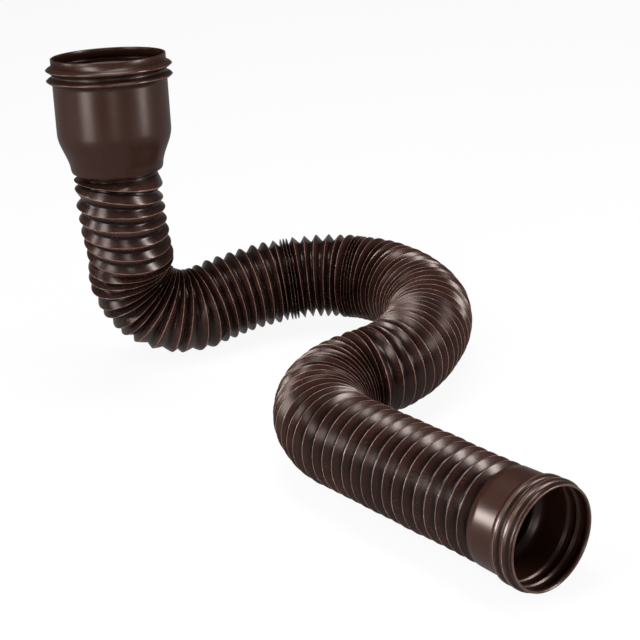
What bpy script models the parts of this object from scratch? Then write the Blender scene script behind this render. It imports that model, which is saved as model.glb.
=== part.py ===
"""Flexible downspout extension.

One moulded bellows pipe in brown plastic. A wide socket at its upper end takes a round downspout.
Below it the bellows stands up from the ground, bends through an elbow, lies in an S of two opposite
turns and ends in a beaded outlet. The folds hold whatever bend they are pushed into, so the route is
a table of bends. Lengths are in metres, +Z is up, and the outlet sends its water along +X.
"""

import math
from collections import namedtuple

import bmesh
import bpy
from mathutils import Matrix, Vector

MM = 0.001
DEGREE = math.pi / 180

# Bellows. Its wall is measured square to the pipe's axis, as are all the walls here.
CREST_RADIUS = 42.5 * MM
FOLD_DEPTH = 7.0 * MM
BELLOWS_WALL = 1.4 * MM
FOLD_GAP = 0.4 * MM
ROOT_RADIUS = CREST_RADIUS - FOLD_DEPTH

# Pitches of the folds, on the outside of a bend: pushed together, nearly closed, at rest and drawn out
GATHERED_PITCH = 2 * BELLOWS_WALL + FOLD_GAP
CLOSE_PITCH = 11.0 * MM
RUN_PITCH = 12.5 * MM
OPEN_PITCH = 13.1 * MM
WIDE_PITCH = 13.6 * MM
FULL_PITCH = 14.0 * MM
RISER_PITCH = 16.3 * MM

# Outlet collar, from its mouth inwards
OUTLET_LENGTH = 50.0 * MM
OUTLET_RADIUS = 42.8 * MM
OUTLET_FLARE = 1.5 * MM
OUTLET_WALL = 1.8 * MM
OUTLET_BEADS = (9.4 * MM, 19.2 * MM)
OUTLET_BEAD_HEIGHT = 2.2 * MM
OUTLET_BEAD_WIDTH = 7.0 * MM
OUTLET_BEAD_CROWN = 3.6 * MM
OUTLET_SHOULDER = 1.5 * MM

# Socket, from its rim down to the last root of the bellows
SOCKET_RADIUS = 55.2 * MM
SOCKET_LENGTH = 72.0 * MM
SOCKET_WALL = 2.2 * MM
SOCKET_BEADS = (11.0 * MM, 21.0 * MM)
SOCKET_BEAD_HEIGHT = 5.2 * MM
SOCKET_BEAD_WIDTH = 6.0 * MM
SOCKET_BEAD_CROWN = 1.7 * MM
SHOULDER_LENGTH = 38.0 * MM
NECK_RADIUS = 44.8 * MM
NECK_HEIGHT = 6.4 * MM

# Facets
BELLOWS_SIDES = 12
COLLAR_SIDES = 16
SHOULDER_RINGS = 6
SMOOTH_ANGLE = 48 * DEGREE

# Route, from the outlet back to the socket. Each stretch has a number of folds, their pitch, how far
# the whole stretch turns to the left and lifts, in degrees, and how far each fold sits to the left of
# the one before it and above it.
Stretch = namedtuple("Stretch", "folds pitch turn lift left up", defaults=(0, 0))
STRAIGHT_RUN = (Stretch(15, RUN_PITCH, 0, 0),)
RIGHT_TURN = (Stretch(8, FULL_PITCH, -49, 0), Stretch(8, WIDE_PITCH, -55, 0))
CROSSING = (Stretch(7, OPEN_PITCH, 36, -1), Stretch(5, CLOSE_PITCH, 12, 0))
LEFT_TURN = (
    Stretch(12, FULL_PITCH, 60, 3),
    Stretch(4, WIDE_PITCH, 25, 1),
    Stretch(3, GATHERED_PITCH, 0, 0),
    Stretch(1, WIDE_PITCH, 7, -2),
    Stretch(4, GATHERED_PITCH, 0, 0),
    Stretch(5, WIDE_PITCH, 25, -1),
)
BACK_RUN = (
    Stretch(1, GATHERED_PITCH, 0, 0),
    Stretch(1, WIDE_PITCH, 7, -1),
    Stretch(3, GATHERED_PITCH, 0, 0),
    Stretch(6, WIDE_PITCH, 11.7, -5.4),
)
ELBOW = (
    Stretch(6, RUN_PITCH, -25, 47),
    Stretch(7, RUN_PITCH, 21, 56, 2.6 * MM, 1.7 * MM),
)
RISER = (
    Stretch(6, RISER_PITCH, -18.4, 8, 2.6 * MM, -2.9 * MM),
    Stretch(1, RISER_PITCH, -1.7, -7.8),
)
ROUTE = STRAIGHT_RUN + RIGHT_TURN + CROSSING + LEFT_TURN + BACK_RUN + ELBOW + RISER

BROWN = (0.047, 0.028, 0.024, 1.0)
PLASTIC_ROUGHNESS = 0.34
NAME = "flexible_downspout_extension"

# One row of points round the pipe: where it lies, its outer radius, the wall there and its corners
Ring = namedtuple("Ring", "frame radius wall sides")


def clear_scene():
    for obj in list(bpy.data.objects):
        bpy.data.objects.remove(obj, do_unlink=True)


def along(distance):
    return Matrix.Translation((0, 0, distance))


def beads(centres, width, crown, height):
    """The beads of a collar as (distance from the mouth, height above the wall)."""
    points = []
    for centre in centres:
        points += [(centre - width / 2, 0), (centre - crown / 2, height)]
        points += [(centre + crown / 2, height), (centre + width / 2, 0)]
    return points


def outlet_rings(mouth):
    """The outlet collar, from its mouth to the first fold. It widens a little to the mouth."""
    def wall_radius(distance):
        return OUTLET_RADIUS + OUTLET_FLARE * (1 - distance / OUTLET_LENGTH)

    raised = beads(OUTLET_BEADS, OUTLET_BEAD_WIDTH, OUTLET_BEAD_CROWN, OUTLET_BEAD_HEIGHT)
    profile = [(0, 0)] + raised + [(OUTLET_LENGTH, 0)]
    return [
        Ring(mouth @ along(distance), wall_radius(distance) + height, OUTLET_WALL, COLLAR_SIDES)
        for distance, height in profile
    ]


def socket_rings(last_root):
    """The neck's edge, the shoulder, the cup and its beads, from the last root up to the rim."""
    shoulder = []
    for i in range(SHOULDER_RINGS + 1):
        share = i / SHOULDER_RINGS
        widening = (SOCKET_RADIUS - NECK_RADIUS) * (1 - math.cos(math.pi * share)) / 2
        shoulder.append((NECK_HEIGHT + SHOULDER_LENGTH * share, NECK_RADIUS + widening))
    rim = NECK_HEIGHT + SHOULDER_LENGTH + SOCKET_LENGTH
    raised = beads(SOCKET_BEADS, SOCKET_BEAD_WIDTH, SOCKET_BEAD_CROWN, SOCKET_BEAD_HEIGHT)
    cup = [(rim - distance, SOCKET_RADIUS + height) for distance, height in reversed(raised)]
    profile = shoulder + cup + [(rim, SOCKET_RADIUS)]
    return [
        Ring(last_root @ along(height), radius, SOCKET_WALL, COLLAR_SIDES)
        for height, radius in profile
    ]


def fold_step(stretch, share):
    """The move along this share of a fold. A fold's inner side never closes past the gathered pitch."""
    axis = Vector((-stretch.lift, stretch.turn, 0))
    angle = axis.length * DEGREE / stretch.folds
    outer_pitch = max(stretch.pitch, GATHERED_PITCH + 2 * CREST_RADIUS * angle)
    pitch = outer_pitch - CREST_RADIUS * angle
    turn = Matrix.Rotation(angle * share / 2, 4, axis) if angle else Matrix.Identity(4)
    move = Matrix.Translation((stretch.left * share, stretch.up * share, pitch * share))
    return turn @ move @ turn


def bellows_rings(start):
    """Root and crest rings of every fold. Returns them with the frame at the last root."""
    rings = []
    frame = start
    for stretch in ROUTE:
        half = fold_step(stretch, 0.5)
        for _ in range(stretch.folds):
            rings.append(Ring(frame, ROOT_RADIUS, BELLOWS_WALL, BELLOWS_SIDES))
            frame = frame @ half
            rings.append(Ring(frame, CREST_RADIUS, BELLOWS_WALL, BELLOWS_SIDES))
            frame = frame @ half
    rings.append(Ring(frame, ROOT_RADIUS, BELLOWS_WALL, BELLOWS_SIDES))
    return rings, frame


def add_row(mesh, ring, radius):
    """Points round the axis. Corners lie as far outside the true circle as the flats lie inside it."""
    reach = 2 * radius / (1 + math.cos(math.pi / ring.sides))
    row = []
    for i in range(ring.sides):
        angle = 2 * math.pi * i / ring.sides
        point = Vector((reach * math.cos(angle), reach * math.sin(angle), 0))
        row.append(mesh.verts.new(ring.frame @ point))
    return row


def bridge(mesh, first, second):
    """Faces between two rows, in quads where both have as many corners, and else in triangles."""
    if len(first) == len(second):
        for i in range(len(first)):
            j = (i + 1) % len(first)
            mesh.faces.new((first[i], first[j], second[j], second[i]))
        return
    i = j = 0
    while i < len(first) or j < len(second):
        here, there = first[i % len(first)], second[j % len(second)]
        if (i + 1) * len(second) <= (j + 1) * len(first) and i < len(first):
            i += 1
            mesh.faces.new((here, first[i % len(first)], there))
        else:
            j += 1
            mesh.faces.new((here, second[j % len(second)], there))


def build_pipe():
    """The pipe's outer skin, its inner skin and the flat rims that join them at both mouths."""
    left, up, travel = (0, -1, 0), (0, 0, 1), (-1, 0, 0)
    mouth = Matrix((left, up, travel)).transposed().to_4x4()
    collar = outlet_rings(mouth)
    bellows, last_root = bellows_rings(mouth @ along(OUTLET_LENGTH + OUTLET_SHOULDER))
    rings = collar + bellows + socket_rings(last_root)

    mesh = bmesh.new()
    outer = [add_row(mesh, ring, ring.radius) for ring in rings]
    inner = [add_row(mesh, ring, ring.radius - ring.wall) for ring in rings]
    for first, second in zip(outer, outer[1:]):
        bridge(mesh, first, second)
    for first, second in zip(inner, inner[1:]):
        bridge(mesh, first, second)
    bridge(mesh, outer[0], inner[0])
    bridge(mesh, outer[-1], inner[-1])
    bmesh.ops.recalc_face_normals(mesh, faces=mesh.faces)
    return mesh


def set_on_ground(mesh):
    """Moves the lowest point to z = 0 and the middle of the outline to x = y = 0."""
    xs, ys, zs = zip(*(vert.co for vert in mesh.verts))
    middle = Vector(((min(xs) + max(xs)) / 2, (min(ys) + max(ys)) / 2, min(zs)))
    bmesh.ops.translate(mesh, vec=-middle, verts=mesh.verts)


def brown_plastic():
    material = bpy.data.materials.new("brown_plastic")
    material.use_nodes = True
    shader = material.node_tree.nodes["Principled BSDF"]
    shader.inputs["Base Color"].default_value = BROWN
    shader.inputs["Roughness"].default_value = PLASTIC_ROUGHNESS
    shader.inputs["Metallic"].default_value = 0.0
    return material


def main():
    clear_scene()
    collection = bpy.data.collections.new(NAME)
    bpy.context.scene.collection.children.link(collection)

    mesh = build_pipe()
    set_on_ground(mesh)
    data = bpy.data.meshes.new(NAME)
    mesh.to_mesh(data)
    mesh.free()
    data.shade_smooth()
    data.set_sharp_from_angle(angle=SMOOTH_ANGLE)
    data.materials.append(brown_plastic())
    collection.objects.link(bpy.data.objects.new(NAME, data))


main()
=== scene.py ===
"""Dresses the flexible downspout extension: its moulded bellows, its brown plastic and the studio.

The part is one moulded pipe. Its solid has straight flanks and few sides, so this scene rebuilds the
pipe, on nearly the same route, with rounded folds, beads and lips, and gives it a satin plastic with
colour, gloss and wear that follow the folds. Lengths are in metres.
"""

import math
import random
from collections import namedtuple

import bmesh
import bpy
from bpy.props import FloatProperty, FloatVectorProperty, IntProperty, PointerProperty
from mathutils import Matrix, Vector


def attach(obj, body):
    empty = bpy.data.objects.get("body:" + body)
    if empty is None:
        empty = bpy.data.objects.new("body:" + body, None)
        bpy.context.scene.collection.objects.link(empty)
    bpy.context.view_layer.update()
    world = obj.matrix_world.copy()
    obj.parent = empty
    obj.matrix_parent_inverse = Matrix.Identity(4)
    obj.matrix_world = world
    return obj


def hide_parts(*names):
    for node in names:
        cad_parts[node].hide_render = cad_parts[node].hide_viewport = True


bl_info = {
    "name": "Flexible downspout extension",
    "version": (1, 0, 0),
    "blender": (4, 5, 0),
    "location": "View3D > Sidebar > Downspout",
    "description": "Builds a corrugated downspout extension with its plastic and studio",
    "category": "Object",
}

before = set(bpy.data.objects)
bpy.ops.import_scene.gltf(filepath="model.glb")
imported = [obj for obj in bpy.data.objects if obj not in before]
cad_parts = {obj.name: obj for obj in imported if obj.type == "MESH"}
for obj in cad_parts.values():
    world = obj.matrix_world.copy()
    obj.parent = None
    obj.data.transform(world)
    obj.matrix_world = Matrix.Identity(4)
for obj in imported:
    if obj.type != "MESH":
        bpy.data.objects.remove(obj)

MM = 0.001
DEGREE = math.pi / 180
NODE = "flexible_downspout_extension"

# Bellows, with the solid's sizes. Pitches are those on the outside of a bend.
CREST_RADIUS = 42.5 * MM
FOLD_DEPTH = 7.0 * MM
BELLOWS_WALL = 1.4 * MM
FOLD_GAP = 0.4 * MM
ROOT_RADIUS = CREST_RADIUS - FOLD_DEPTH
GATHERED_PITCH = 2 * BELLOWS_WALL + FOLD_GAP
CLOSE_PITCH = 11.0 * MM
RUN_PITCH = 12.5 * MM
OPEN_PITCH = 13.1 * MM
WIDE_PITCH = 13.6 * MM
FULL_PITCH = 14.0 * MM
RISER_PITCH = 16.3 * MM

# Bellows, in this scene alone: the pitches of the straight run and of the back run's end, the length of
# a fold's flank, the depth that is left in a fold drawn out flat, and how much rounder it is then
STRAIGHT_PITCH = 12.33 * MM
BACK_PITCH = 13.15 * MM
FLANK = 9.2 * MM
SHALLOWEST = 2.6 * MM
DRAWN_ROUNDING = 0.12

# How uneven the folds are: the tilt of a crest as a share of its pitch, what a bend adds to it for each
# radian that a fold turns, how far a crest may lie inside or outside its radius, and the seed of both
CREST_LEAN = 0.04
BEND_LEAN = 1.4
CREST_SPREAD = (-0.2 * MM, 0.35 * MM)
CREST_SEED = 7

# Outlet collar. The groove behind it is longer than the solid's. The last two values are how long the
# collar's inner edge is and how far above the roots it ends.
OUTLET_LENGTH = 50.0 * MM
OUTLET_RADIUS = 42.8 * MM
OUTLET_FLARE = 1.5 * MM
OUTLET_WALL = 1.8 * MM
OUTLET_GROOVE = 5.0 * MM
OUTLET_EDGE = 0.5 * MM
OUTLET_EDGE_RISE = 1.5 * MM

# Socket, up to 1.4 mm smaller than the solid's, to fit the photograph better
SOCKET_RADIUS = 54.2 * MM
SOCKET_LENGTH = 70.6 * MM
SOCKET_WALL = 1.8 * MM
SHOULDER_LENGTH = 38.0 * MM
NECK_RADIUS = 43.9 * MM
NECK_HEIGHT = 6.4 * MM

# The lip of both collars, how finely lips, collars, shoulder and beads are built, and how far inside
# its end a corner of the solid still counts as on the rim
LIP_RADIUS = 0.6 * MM
LIP_STEPS = 6
COLLAR_STEPS = 8
SHOULDER_STEPS = 20
BEAD_STEPS = 8
RIM_TOLERANCE = 0.01 * MM

# A collar's pair of beads, a little broader and higher than the solid's: their distances from the mouth,
# their width and height and how blunt they are
Beads = namedtuple("Beads", "centres width height bluntness")
OUTLET_BEADS = Beads((9.2 * MM, 19.0 * MM), 8.2 * MM, 2.4 * MM, 4.0)
SOCKET_BEADS = Beads((10.6 * MM, 20.6 * MM), 6.4 * MM, 5.5 * MM, 1.2)

# The route, from the outlet back to the socket: folds, their pitch on the outside of the bend, how far
# the whole stretch turns to the left and lifts, in degrees, and how far each fold sits to the left of
# the one before it and above it. The folds of the back run are grouped in another way than the solid's,
# to fit the photograph better.
Stretch = namedtuple("Stretch", "folds pitch turn lift left up", defaults=(0, 0))
ROUTE = (
    Stretch(15, STRAIGHT_PITCH, 0, 0),
    Stretch(8, FULL_PITCH, -49, 0),
    Stretch(8, WIDE_PITCH, -55, 0),
    Stretch(7, OPEN_PITCH, 36, -1),
    Stretch(5, CLOSE_PITCH, 12, 0),
    Stretch(12, FULL_PITCH, 60, 3),
    Stretch(4, WIDE_PITCH, 25, 1),
    Stretch(3, GATHERED_PITCH, 0, 0),
    Stretch(6, FULL_PITCH, 29, -3),
    Stretch(3, GATHERED_PITCH, 0, 0),
    Stretch(2, WIDE_PITCH, 10, -1),
    Stretch(6, BACK_PITCH, 11.7, -5.4),
    Stretch(6, RUN_PITCH, -25, 47),
    Stretch(7, RUN_PITCH, 21, 56, 2.6 * MM, 1.7 * MM),
    Stretch(6, RISER_PITCH, -18.4, 8, 2.6 * MM, -2.9 * MM),
    Stretch(1, RISER_PITCH, -1.7, -7.8),
)

# Half a fold as (share of its pitch, share of its depth): a tight root, a straight flank and the start
# of a round crest. The other half mirrors it, the inner skin has fewer points, and the flank between the
# last root and the neck has the middle ones of these.
RISE = (
    (0.0, 0.0),
    (0.05, 0.05),
    (0.12, 0.18),
    (0.25, 0.47),
    (0.38, 0.76),
    (0.44, 0.90),
    (0.476, 0.975),
)
CREST = (0.5, 1.0)
FOLD = (*RISE, CREST, *((1 - share, height) for share, height in reversed(RISE[1:])))
INNER_FOLD = ((0.0, 0.0), (0.2, 0.36), CREST, (0.8, 0.36))
NECK_FLANK = RISE[1:-1]

# A bead's outline is raised to this power, its crown takes up this share of its half width, and past
# its foot, with a little room for rounding, the wall is plain
BEAD_POWER = 0.7
BEAD_CROWN = 0.7
BEAD_FOOT = 1.001

# How the collars are coloured, on the folds' own scale from 0 in a root to 1 on a crest. The crowns and the
# outlet's lip take the pale crest line, partly rubbed wear and partly a painted highlight; the grooves take
# painted shade.
PLAIN_WALL = 0.7
CROWN_WEAR_AND_HIGHLIGHT = 0.99
RIM_WEAR_AND_HIGHLIGHT = 0.965
# The grooves at the beads' feet sit low on this scale, so they are darkened with painted shade as the roots
# are.
GROOVE_SHADE = 0.25

# One row of points round the pipe: where it lies, its radius, its share of the fold's depth, its corners
# and how far along the pipe it is. A row of a fold also has the fold's pitch, and which way and how much
# the fold bends, in metres of pitch. Its lean says how far the crest has tipped over, as a share of the
# pitch.
Row = namedtuple("Row", "frame radius crest sides distance pitch bend lean", defaults=(0, (0, 0), (0, 0)))

# Camera: where it stands from the middle of the outlet's mouth, where it looks, its lens, and how near
# and how far it sees
CAMERA_PLACE = (797.6 * MM, -821.8 * MM, 721.9 * MM)
CAMERA_HEADING = 142.08 * DEGREE
CAMERA_DIP = 24.59 * DEGREE
CAMERA_ROLL = -6.09 * DEGREE
SENSOR = 36.0
PICTURE = 640
FOCAL_PIXELS = 1753.6
CLIP = (0.01, 50.0)

# Lamps: where each stands, what it points at, its width and height, and its beam in degrees
Lamp = namedtuple("Lamp", "name place target size beam", defaults=(180,))
LAMPS = (
    Lamp("top", (-0.1, 0.2, 2.1), (0, 0, 0.1), (1.1, 0.55)),
    Lamp("left", (-0.1, -1.6, 0.6), (-0.2, 0, 0.15), (0.5, 1.0)),
    Lamp("high", (-0.15, -1.0, 1.6), (-0.2, 0, 0.1), (0.4, 0.7)),
    Lamp("right", (1.3, 0.8, 0.55), (-0.1, 0, 0.1), (0.35, 1.0)),
    Lamp("side", (-0.8, -1.3, 0.5), (0.3, -0.15, 0.05), (0.5, 0.5), 36),
    Lamp("front", (1.5, -1.1, 0.6), (0, 0, 0.05), (0.5, 0.5)),
)
WHITE = (1, 1, 1, 1)

# Floor: how far it reaches, its squares along a side, and how dark the darkest of its grain is
FLOOR_REACH = 12
FLOOR_SQUARES = 8
FLOOR_GRAIN = 0.99


class Value:
    """A shader socket that takes part in Python sums, as a number or, through mix, as a colour."""

    def __init__(self, tree, socket):
        self.tree = tree
        self.socket = socket

    def math(self, operation, *others, clamp=False):
        settings = {"operation": operation, "use_clamp": clamp}
        return node(self.tree, "ShaderNodeMath", settings, numbered=enumerate((self, *others)))

    def __add__(self, other):
        return self.math("ADD", other)

    __radd__ = __add__

    def __sub__(self, other):
        return self.math("SUBTRACT", other)

    def __rsub__(self, other):
        return (self * -1) + other

    def __mul__(self, other):
        return self.math("MULTIPLY", other)

    __rmul__ = __mul__

    def clamped(self):
        return self.math("ADD", 0.0, clamp=True)

    def band(self, low, high):
        """0 below low, 1 above high and a smooth step between them."""
        settings = {"interpolation_type": "SMOOTHSTEP"}
        return node(
            self.tree, "ShaderNodeMapRange", settings, "Result", Value=self, From_Min=low, From_Max=high
        )


def plug(tree, socket, value):
    """Links a socket to a Value, or sets it to a number or colour."""
    if isinstance(value, Value):
        tree.links.new(value.socket, socket)
    else:
        socket.default_value = value


def node(tree, kind, settings=(), output=0, numbered=(), **named):
    """Adds a node of any kind, with its settings and its sockets, and gives one output as a Value.

    Named sockets have underscores for spaces. Where a node has several sockets of one name, they come
    as pairs of their number and what goes in. An output node gives nothing.
    """
    made = tree.nodes.new(kind)
    for name, value in dict(settings).items():
        setattr(made, name, value)
    for number, value in numbered:
        plug(tree, made.inputs[number], value)
    for name, value in named.items():
        plug(tree, made.inputs[name.replace("_", " ")], value)
    return Value(tree, made.outputs[output]) if made.outputs else None


def mix(tree, share, first, second):
    """A colour between two colours. The numbers are those of this node's sockets for colours."""
    sockets = ((0, share), (6, first), (7, second))
    return node(tree, "ShaderNodeMix", {"data_type": "RGBA"}, output=2, numbered=sockets)


def blend(tree, share, first, second):
    """A shader between two shaders."""
    return node(tree, "ShaderNodeMixShader", numbered=enumerate((share, first, second)))


def new_tree(owner):
    """Empties the nodes of a material or world."""
    owner.use_nodes = True
    owner.node_tree.nodes.clear()
    return owner.node_tree


def along(distance):
    return Matrix.Translation((0, 0, distance))


def bead_rows(beads):
    """The distances from the mouth at which the beads have their rows."""
    for centre in beads.centres:
        for i in range(BEAD_STEPS + 1):
            yield centre - beads.width / 2 * math.cos(math.pi * i / BEAD_STEPS)


def bead_height(beads, distance):
    """How far a bead stands out of the wall at this distance from the mouth."""
    share = min(1.0, *(abs(distance - centre) / (beads.width / 2) for centre in beads.centres))
    return beads.height * (1 - share ** beads.bluntness) ** BEAD_POWER


def bead_wear_highlight_and_shade(beads, distance):
    """The beads' crowns take the crests' pale line, partly rubbed wear and partly a painted highlight, and
    the grooves at their feet take painted shade.
    """
    share = min(abs(distance - centre) / (beads.width / 2) for centre in beads.centres)
    if share > BEAD_FOOT:
        return PLAIN_WALL
    if share > BEAD_CROWN:
        return PLAIN_WALL + (GROOVE_SHADE - PLAIN_WALL) * (share - BEAD_CROWN) / (1 - BEAD_CROWN)
    return CROWN_WEAR_AND_HIGHLIGHT + (PLAIN_WALL - CROWN_WEAR_AND_HIGHLIGHT) * share / BEAD_CROWN


def mouth_frame():
    """The frame at the outlet's mouth, looking into the pipe. The solid's own rim gives its middle."""
    corners = [v.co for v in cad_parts[NODE].data.vertices]
    reach = max(c.x for c in corners)
    rim = [c for c in corners if c.x > reach - RIM_TOLERANCE]
    middle = Vector((reach, *((min(c[i] for c in rim) + max(c[i] for c in rim)) / 2 for i in (1, 2))))
    made = Matrix(((0, -1, 0), (0, 0, 1), (-1, 0, 0))).transposed().to_4x4()
    made.translation = middle
    return made


def fold_step(stretch, share):
    """The move along this share of a fold, and the whole fold's pitch on the pipe's axis.

    A fold's inner side never closes past the gathered pitch.
    """
    axis = Vector((-stretch.lift, stretch.turn, 0))
    angle = axis.length * DEGREE / stretch.folds
    pitch = max(stretch.pitch, GATHERED_PITCH + 2 * CREST_RADIUS * angle) - CREST_RADIUS * angle
    turn = Matrix.Rotation(angle * share / 2, 4, axis) if angle else Matrix.Identity(4)
    move = Matrix.Translation((stretch.left * share, stretch.up * share, pitch * share))
    return turn @ move @ turn, pitch


def collar_profile(length, radius_at, beads):
    """Rows of a collar as (distance from the mouth, outer radius), from its lip inwards."""
    plain = (length * i / COLLAR_STEPS for i in range(1, COLLAR_STEPS))
    cuts = sorted({LIP_RADIUS, length, *bead_rows(beads), *plain})
    return [(distance, radius_at(distance) + bead_height(beads, distance)) for distance in cuts]


def lip(radius, wall):
    """The rounded rim between the outer and the inner skin, as (distance from the mouth, radius)."""
    points = []
    for i in range(LIP_STEPS + 1):
        turn = math.pi * i / LIP_STEPS
        points.append((LIP_RADIUS * (1 - math.sin(turn)), radius - wall / 2 + wall / 2 * math.cos(turn)))
    return points


def outlet_radius(distance):
    return OUTLET_RADIUS + OUTLET_FLARE * (1 - distance / OUTLET_LENGTH)


def outlet_rows(mouth, sides):
    """Outer and inner rows of the outlet collar, each from the mouth inwards, and its lip."""
    profile = collar_profile(OUTLET_LENGTH, outlet_radius, OUTLET_BEADS)
    profile.append((OUTLET_LENGTH + OUTLET_EDGE, ROOT_RADIUS + OUTLET_EDGE_RISE))
    outer = [Row(mouth @ along(d), r, bead_wear_highlight_and_shade(OUTLET_BEADS, d), sides, d) for d, r in profile]
    inner = [Row(mouth @ along(d), r - OUTLET_WALL, PLAIN_WALL, sides, d) for d, r in profile]
    rim = [Row(mouth @ along(d), r, RIM_WEAR_AND_HIGHLIGHT, sides, d) for d, r in lip(outlet_radius(0), OUTLET_WALL)]
    return outer, inner, rim


def neck_profile():
    """The flank from the last root up to the neck's edge, and the shoulder that widens to the cup."""
    points = []
    for share, depth in NECK_FLANK:
        points.append((NECK_HEIGHT * 2 * share, ROOT_RADIUS + (NECK_RADIUS - ROOT_RADIUS) * depth))
    for i in range(1, SHOULDER_STEPS + 1):
        share = i / SHOULDER_STEPS
        widening = (SOCKET_RADIUS - NECK_RADIUS) * (1 - math.cos(math.pi * share)) / 2
        points.append((NECK_HEIGHT + SHOULDER_LENGTH * share, NECK_RADIUS + widening))
    return points


def socket_rows(last_root, base, sides):
    """Outer and inner rows of the neck, shoulder and cup, from the last root up to the rim."""
    rim_at = NECK_HEIGHT + SHOULDER_LENGTH + SOCKET_LENGTH
    cup = collar_profile(SOCKET_LENGTH, lambda distance: SOCKET_RADIUS, SOCKET_BEADS)
    profile = neck_profile() + [(rim_at - d, r) for d, r in reversed(cup[:-1])]
    outer = [
        Row(last_root @ along(h), r, bead_wear_highlight_and_shade(SOCKET_BEADS, rim_at - h), sides, base + h) for h, r in profile
    ]
    inner = [Row(last_root @ along(h), r - SOCKET_WALL, PLAIN_WALL, sides, base + h) for h, r in profile]
    rim = [
        Row(last_root @ along(rim_at - d), r, PLAIN_WALL, sides, base + rim_at - d)
        for d, r in lip(SOCKET_RADIUS, SOCKET_WALL)
    ]
    return outer, inner, rim


def bellows_rows(start, base, sides, inner_sides):
    """Outer and inner rows of every fold, the frame at the last root and its distance."""
    outer, inner = [], []
    here, distance = start, base
    chance = random.Random(CREST_SEED)
    for stretch in ROUTE:
        whole, pitch = fold_step(stretch, 1.0)
        bend = Vector((stretch.turn, stretch.lift)) * DEGREE / stretch.folds * CREST_RADIUS
        tip = CREST_LEAN + BEND_LEAN * bend.length / CREST_RADIUS
        for _ in range(stretch.folds):
            lean = Vector((chance.uniform(-tip, tip), chance.uniform(-tip, tip)))
            crest = CREST_RADIUS + chance.uniform(*CREST_SPREAD)
            for fold, rows, wall, count in (
                (FOLD, outer, 0.0, sides),
                (INNER_FOLD, inner, BELLOWS_WALL, inner_sides),
            ):
                for share, height in fold:
                    place = here @ fold_step(stretch, share)[0]
                    radius = CREST_RADIUS + (crest - CREST_RADIUS) * height - wall
                    travelled = distance + pitch * share
                    rows.append(Row(place, radius, height, count, travelled, pitch, bend, lean))
            here = here @ whole
            distance += pitch
    inner_radius = CREST_RADIUS - BELLOWS_WALL
    outer.append(Row(here, CREST_RADIUS, 0.0, sides, distance, pitch, bend))
    inner.append(Row(here, inner_radius, 0.0, inner_sides, distance, pitch, bend))
    return outer, inner, here, distance


def local_pitch(row, way):
    """A fold's pitch on this side of the pipe, where it may be drawn out or pushed together."""
    return max(row.pitch - row.bend[0] * way.x - row.bend[1] * way.y, GATHERED_PITCH)


def hollow(row, way):
    """How far a fold falls in from its crest here.

    A flank keeps its length, so a drawn out fold is shallow and rounder, and a pushed in one is deep.
    """
    if not row.pitch:
        return 0.0
    pitch = local_pitch(row, way)
    depth = math.sqrt(max(FLANK ** 2 - (pitch / 2) ** 2, SHALLOWEST ** 2))
    drawn = min(1.0, max(0.0, (pitch - RUN_PITCH) / (RISER_PITCH - RUN_PITCH)))
    return depth * (1 - row.crest ** (1 - DRAWN_ROUNDING * drawn))


class Skin:
    """A mesh of rows of points round the pipe. Each point keeps where it is on the straightened pipe."""

    def __init__(self):
        self.mesh = bmesh.new()
        self.straight = self.mesh.verts.layers.float_vector.new("straight")
        self.crest = self.mesh.verts.layers.float.new("crest")
        self.plain = self.mesh.verts.layers.float.new("plain")

    def add(self, row):
        """The points of one row, marked with their share of a fold's depth and with how plain they are."""
        points = []
        for i in range(row.sides):
            angle = 2 * math.pi * i / row.sides
            way = Vector((math.cos(angle), math.sin(angle), 0))
            flat = way * (row.radius - hollow(row, way))
            tipped = row.crest * (row.lean[0] * way.x + row.lean[1] * way.y) if row.pitch else 0.0
            flat.z = tipped * local_pitch(row, way)
            point = self.mesh.verts.new(row.frame @ flat)
            point[self.straight] = flat + Vector((0, 0, row.distance))
            point[self.crest] = row.crest
            point[self.plain] = 0.0 if row.pitch else 1.0
            points.append(point)
        return points

    def bridge(self, first, second):
        """Faces between two rows, in quads where both have as many corners, and else in triangles."""
        if len(first) == len(second):
            for i in range(len(first)):
                j = (i + 1) % len(first)
                self.mesh.faces.new((first[i], first[j], second[j], second[i]))
            return
        i = j = 0
        while i < len(first) or j < len(second):
            here, there = first[i % len(first)], second[j % len(second)]
            if (i + 1) * len(second) <= (j + 1) * len(first) and i < len(first):
                i += 1
                self.mesh.faces.new((here, first[i % len(first)], there))
            else:
                j += 1
                self.mesh.faces.new((here, second[j % len(second)], there))

    def loft(self, rows):
        made = [self.add(row) for row in rows]
        for first, second in zip(made, made[1:]):
            self.bridge(first, second)
        return made


def pipe_mesh(settings):
    """The whole pipe as one closed skin: outlet's lip, outside, socket's lip and inside."""
    sides, inner_sides = settings.sides, settings.inner_sides
    mouth = mouth_frame()
    outlet, outlet_inside, outlet_lip = outlet_rows(mouth, sides)
    base = OUTLET_LENGTH + OUTLET_GROOVE
    start = mouth @ along(base)
    bellows, bellows_inside, last_root, distance = bellows_rows(start, base, sides, inner_sides)
    socket, socket_inside, socket_lip = socket_rows(last_root, distance, sides)

    outside = outlet_lip[::-1] + outlet + bellows + socket + socket_lip[1:-1]
    inside = outlet_inside + bellows_inside + socket_inside
    skin = Skin()
    made = skin.loft(outside + inside[::-1])
    skin.bridge(made[-1], made[0])
    bmesh.ops.recalc_face_normals(skin.mesh, faces=skin.mesh.faces)
    return skin.mesh


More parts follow.
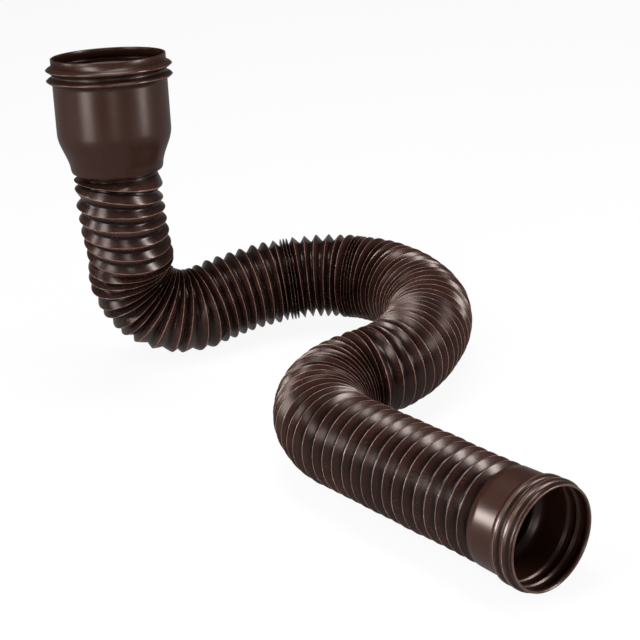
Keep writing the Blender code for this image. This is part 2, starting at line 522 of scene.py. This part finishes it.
def brown_plastic(finish):
    """Satin brown plastic. Painted shade darkens the roots, and the thin crests are paler and glossier: their
    pale line is partly rubbed wear and partly a painted highlight.
    """
    made = bpy.data.materials.new("brown_plastic_moulded")
    tree = new_tree(made)
    place = node(tree, "ShaderNodeAttribute", {"attribute_name": "straight"}, "Vector")
    crest = node(tree, "ShaderNodeAttribute", {"attribute_name": "crest"}, "Fac")
    plain = node(tree, "ShaderNodeAttribute", {"attribute_name": "plain"}, "Fac")

    cloud = node(tree, "ShaderNodeTexNoise", Vector=place, Scale=26.0, Detail=4.0, Roughness=0.6)
    speck = node(tree, "ShaderNodeTexNoise", Vector=place, Scale=420.0, Detail=3.0, Roughness=0.55)
    flow = node(tree, "ShaderNodeTexNoise", Vector=place, Scale=95.0, Detail=2.0, Roughness=0.5)

    warm_patches = cloud.band(0.35, 0.68)
    above_root = crest.band(0.0, 0.68)
    crest_line = crest.band(0.94, 1.0)
    polished = crest.band(0.85, 1.0)
    crest_line_patches = (cloud.band(0.30, 0.62) * 0.55 + 0.45) * (flow.band(0.25, 0.60) * 0.45 + 0.55)

    body = mix(tree, warm_patches, (*finish.brown, 1), (*finish.red_brown, 1))
    smooth = mix(tree, plain, body, (*finish.collar_brown, 1))
    # Painted shade: the roots and lower flanks of the folds, and the grooves at the beads' feet, are darkened
    # towards the root colour.
    deep = mix(tree, above_root, (*finish.root_brown, 1), smooth)
    # Partly rubbed wear and partly a painted highlight: a thin pale tan line on every crest, on the beads'
    # crowns and on the outlet's lip, in uneven patches.
    colour = mix(tree, crest_line * crest_line_patches * finish.crest_wear_and_highlight, deep, (*finish.pale_crest_and_highlight, 1))

    rough = finish.roughness + (cloud - 0.5) * 0.16 + (speck - 0.5) * 0.05 - polished * 0.10
    rough = rough + plain * finish.collar_matt
    bump = node(tree, "ShaderNodeBump", Strength=finish.bump, Distance=0.2 * MM, Height=flow)

    plastic = node(
        tree,
        "ShaderNodeBsdfPrincipled",
        Base_Color=colour,
        Roughness=rough.clamped(),
        Normal=bump,
        Metallic=0.0,
        IOR=1.49,
        Specular_IOR_Level=finish.specular,
        Specular_Tint=(*finish.sheen, 1),
    )
    node(tree, "ShaderNodeOutputMaterial", Surface=plastic)
    return made


def ray_kinds(tree):
    """Two values: 1 for rays from the camera, and 1 for rays in a reflection or through glass."""
    camera = node(tree, "ShaderNodeLightPath", output="Is Camera Ray")
    glossy = node(tree, "ShaderNodeLightPath", output="Is Glossy Ray")
    glass = node(tree, "ShaderNodeLightPath", output="Is Transmission Ray")
    return camera, (glossy + glass).clamped()


def floor_material(studio):
    """A pale floor that the camera sees as white paper with a soft shadow, and reflections as even grey."""
    made = bpy.data.materials.new("studio_floor")
    tree = new_tree(made)
    grain = node(tree, "ShaderNodeTexNoise", Scale=3.0, Detail=2.0)
    shade = [channel * FLOOR_GRAIN for channel in studio.floor_colour]
    paper = mix(tree, grain, (*studio.floor_colour, 1), (*shade, 1))
    lit = node(tree, "ShaderNodeBsdfDiffuse", Color=paper)
    camera, reflected = ray_kinds(tree)
    dim = studio.reflected_floor
    seen = mix(tree, camera, (dim, dim, dim, 1), WHITE)
    glow = node(tree, "ShaderNodeEmission", Color=seen, Strength=1.0)
    share = (camera * studio.floor_glow + reflected).clamped()
    node(tree, "ShaderNodeOutputMaterial", Surface=blend(tree, share, lit, glow))
    return made


def set_world(studio):
    """Faint even light, and a white background for the camera."""
    world = bpy.data.worlds.new("studio_world")
    bpy.context.scene.world = world
    tree = new_tree(world)
    camera, _ = ray_kinds(tree)
    ambient = node(tree, "ShaderNodeBackground", Color=WHITE, Strength=studio.ambient)
    white = node(tree, "ShaderNodeBackground", Color=WHITE, Strength=1.0)
    node(tree, "ShaderNodeOutputWorld", Surface=blend(tree, camera, ambient, white))


def area_lamp(lamp, power):
    data = bpy.data.lights.new(f"{lamp.name}_light", "AREA")
    data.shape = "RECTANGLE"
    data.size, data.size_y = lamp.size
    data.energy = power
    data.spread = lamp.beam * DEGREE
    made = bpy.data.objects.new(data.name, data)
    made.location = lamp.place
    made.rotation_mode = "QUATERNION"
    made.rotation_quaternion = (Vector(lamp.target) - Vector(lamp.place)).to_track_quat("-Z", "Y")
    bpy.context.scene.collection.objects.link(made)


def set_camera():
    """The photograph's viewpoint, from the middle of the outlet's mouth."""
    data = bpy.data.cameras.new("camera")
    data.sensor_width = SENSOR
    data.lens = SENSOR * FOCAL_PIXELS / PICTURE
    made = bpy.data.objects.new("camera", data)
    bpy.context.scene.collection.objects.link(made)
    dip, heading = CAMERA_DIP, CAMERA_HEADING
    forward = Vector((math.cos(dip) * math.cos(heading), math.cos(dip) * math.sin(heading), -math.sin(dip)))
    right = Vector((math.sin(heading), -math.cos(heading), 0))
    turned = Matrix((right, right.cross(forward), -forward)).transposed()
    roll = Matrix.Rotation(CAMERA_ROLL, 3, "Z")
    place = Matrix.Translation(mouth_frame().translation + Vector(CAMERA_PLACE))
    made.matrix_world = place @ (turned @ roll).to_4x4()
    data.clip_start, data.clip_end = CLIP
    bpy.context.scene.camera = made


class PipeSettings(bpy.types.PropertyGroup):
    """How finely the pipe is built."""

    sides: IntProperty(name="Sides", description="Corners round the outside", default=56, min=24, max=96)
    inner_sides: IntProperty(name="Inner sides", description="Corners inside", default=28, min=16, max=64)


class FinishSettings(bpy.types.PropertyGroup):
    """The plastic."""

    brown: FloatVectorProperty(
        name="Brown", description="Colour of the flanks", default=(0.024, 0.0090, 0.0064), subtype="COLOR"
    )
    red_brown: FloatVectorProperty(
        name="Red brown", description="Warmer patches", default=(0.040, 0.0132, 0.0092), subtype="COLOR"
    )
    collar_brown: FloatVectorProperty(
        name="Collars", description="Smooth collars", default=(0.029, 0.0095, 0.0056), subtype="COLOR"
    )
    # Painted shade: the near-black colour that the roots and the grooves at the beads' feet are darkened to.
    root_brown: FloatVectorProperty(
        name="Root", description="Colour in the roots", default=(0.007, 0.0035, 0.003), subtype="COLOR"
    )
    # Partly rubbed wear and partly a painted highlight: the colour of the pale line on the crests.
    pale_crest_and_highlight: FloatVectorProperty(
        name="Crest", description="Rubbed crests", default=(0.33, 0.205, 0.175), subtype="COLOR"
    )
    # How strong the crests' pale line of wear and painted highlight is.
    crest_wear_and_highlight: FloatProperty(
        name="Crest wear", description="Strength of the rubbed line", default=0.8, min=0, max=1
    )
    roughness: FloatProperty(name="Roughness", description="Mean roughness", default=0.26, min=0, max=1)
    collar_matt: FloatProperty(
        name="Matt collars", description="Their added roughness", default=0.05, min=0, max=1
    )
    specular: FloatProperty(
        name="Gloss", description="Strength of the reflections", default=0.55, min=0, max=1
    )
    sheen: FloatVectorProperty(
        name="Gloss tint", description="Colour of the reflections", default=(1.0, 0.84, 0.78), subtype="COLOR"
    )
    bump: FloatProperty(
        name="Bump", description="Strength of the moulded texture", default=0.10, min=0, max=1
    )


class StudioSettings(bpy.types.PropertyGroup):
    """Light and floor."""

    floor_colour: FloatVectorProperty(
        name="Floor", description="Colour of the floor", default=(0.86, 0.86, 0.86), subtype="COLOR"
    )
    floor_glow: FloatProperty(
        name="Floor glow", description="Share of plain white in the floor", default=0.92, min=0, max=1
    )
    reflected_floor: FloatProperty(
        name="Reflected floor", description="Its brightness in reflections", default=0.30, min=0, max=1
    )
    ambient: FloatProperty(
        name="Ambient", description="Strength of the even light", default=0.08, min=0, max=2
    )
    top_power: FloatProperty(
        name="Top", description="Power of the light overhead", default=28.0, subtype="POWER"
    )
    left_power: FloatProperty(
        name="Left", description="Power of the low light at the left", default=11.0, subtype="POWER"
    )
    high_power: FloatProperty(
        name="High", description="Power of the high light at the left", default=11.0, subtype="POWER"
    )
    right_power: FloatProperty(
        name="Right", description="Power of the light at the right", default=19.0, subtype="POWER"
    )
    side_power: FloatProperty(
        name="Side", description="Power of the narrow light on the outlet", default=0.8, subtype="POWER"
    )
    front_power: FloatProperty(
        name="Front", description="Power of the light in front", default=3.5, subtype="POWER"
    )


class DOWNSPOUT_OT_pipe(bpy.types.Operator):
    """Builds the moulded pipe in place of the plain solid"""

    bl_idname = "downspout.pipe"
    bl_label = "Moulded pipe"

    def execute(self, context):
        mesh = pipe_mesh(context.scene.downspout_pipe)
        data = bpy.data.meshes.new("moulded_pipe")
        mesh.to_mesh(data)
        mesh.free()
        data.shade_smooth()
        data.materials.append(brown_plastic(context.scene.downspout_finish))
        pipe = bpy.data.objects.new("moulded_pipe", data)
        context.scene.collection.objects.link(pipe)
        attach(pipe, "root")
        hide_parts(NODE)
        return {"FINISHED"}


class DOWNSPOUT_OT_studio(bpy.types.Operator):
    """Sets up the floor, the light and the camera"""

    bl_idname = "downspout.studio"
    bl_label = "Studio"

    def execute(self, context):
        studio = context.scene.downspout_studio
        mesh = bmesh.new()
        bmesh.ops.create_grid(mesh, x_segments=FLOOR_SQUARES, y_segments=FLOOR_SQUARES, size=FLOOR_REACH)
        data = bpy.data.meshes.new("studio_floor")
        mesh.to_mesh(data)
        mesh.free()
        data.materials.append(floor_material(studio))
        floor = bpy.data.objects.new("studio_floor", data)
        context.scene.collection.objects.link(floor)
        set_world(studio)
        for lamp in LAMPS:
            area_lamp(lamp, getattr(studio, f"{lamp.name}_power"))
        set_camera()
        context.scene.view_settings.view_transform = "Standard"
        return {"FINISHED"}


# The operators in their order, each with the settings that it uses
STEPS = (
    ("downspout.pipe", ("downspout_pipe", "downspout_finish")),
    ("downspout.studio", ("downspout_studio",)),
)


class DOWNSPOUT_PT_panel(bpy.types.Panel):
    """Lists the steps that build the scene"""

    bl_idname = "DOWNSPOUT_PT_panel"
    bl_label = "Downspout extension"
    bl_space_type = "VIEW_3D"
    bl_region_type = "UI"
    bl_category = "Downspout"

    def draw(self, context):
        for operator, groups in STEPS:
            for group in groups:
                settings = getattr(context.scene, group)
                for name in settings.__annotations__:
                    self.layout.prop(settings, name)
            self.layout.operator(operator)


CLASSES = (
    PipeSettings,
    FinishSettings,
    StudioSettings,
    DOWNSPOUT_OT_pipe,
    DOWNSPOUT_OT_studio,
    DOWNSPOUT_PT_panel,
)


def register():
    for made in CLASSES:
        bpy.utils.register_class(made)
    bpy.types.Scene.downspout_pipe = PointerProperty(type=PipeSettings)
    bpy.types.Scene.downspout_finish = PointerProperty(type=FinishSettings)
    bpy.types.Scene.downspout_studio = PointerProperty(type=StudioSettings)


def unregister():
    del bpy.types.Scene.downspout_studio
    del bpy.types.Scene.downspout_finish
    del bpy.types.Scene.downspout_pipe
    for made in reversed(CLASSES):
        bpy.utils.unregister_class(made)


def main():
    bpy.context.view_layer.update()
    register()
    bpy.ops.downspout.pipe()
    bpy.ops.downspout.studio()


if __name__ == "__main__":
    main()
